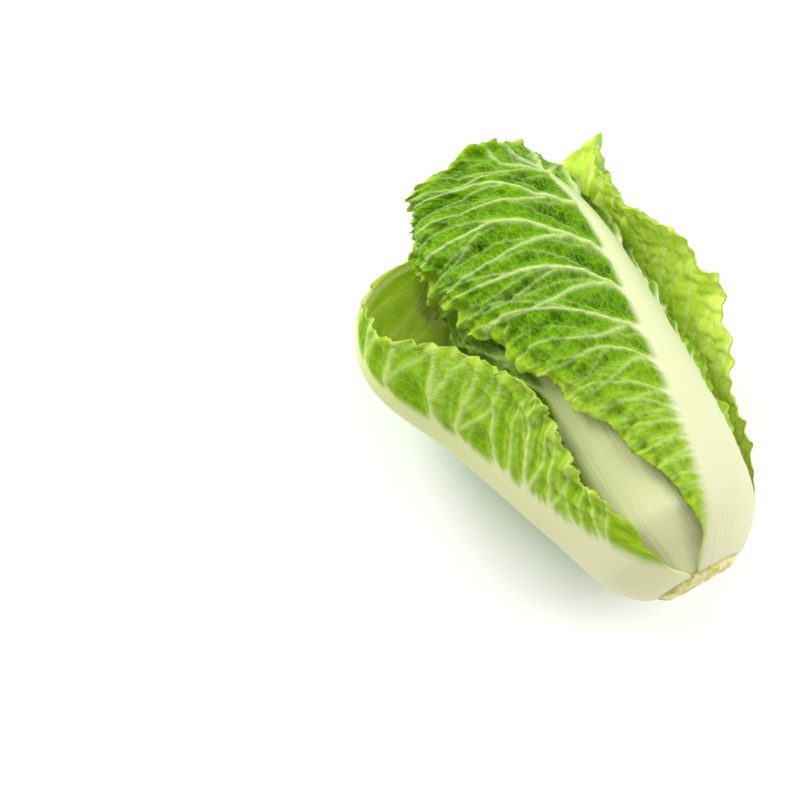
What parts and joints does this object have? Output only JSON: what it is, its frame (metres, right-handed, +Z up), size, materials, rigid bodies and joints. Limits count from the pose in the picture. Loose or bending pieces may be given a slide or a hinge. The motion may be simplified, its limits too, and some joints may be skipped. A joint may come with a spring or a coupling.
{
  "type": "napa cabbage",
  "caption": "Whole napa cabbage lying on its side: crinkled green leaves with broad pale midribs wrapped round a dense heart, one outer leaf leaning out, cut stem at one end.",
  "frame": {"origin": "on the table, under the middle of the part's box", "axes": "+X along the head from the cut stem to the leaf tips, +Z up from the table, +Y to the side of the leaf that leans out"},
  "size_m": [0.3, 0.2156, 0.1433],
  "materials": {
    "outer_leaf": "satin",
    "inner_leaf": "satin",
    "heart_leaf": "satin",
    "stem": "matte"
  },
  "bodies": {
    "root": {"stem": "stem", "heart": "heart_leaf", "leaf_front": "outer_leaf", "leaf_under": "outer_leaf", "leaf_left": "outer_leaf", "leaf_right": "outer_leaf", "leaf_table": "outer_leaf", "leaf_inner_1": "inner_leaf", "leaf_inner_2": "inner_leaf", "leaf_inner_3": "inner_leaf", "leaf_inner_4": "inner_leaf", "leaf_inner_5": "inner_leaf"}
  },
  "joints": []
}
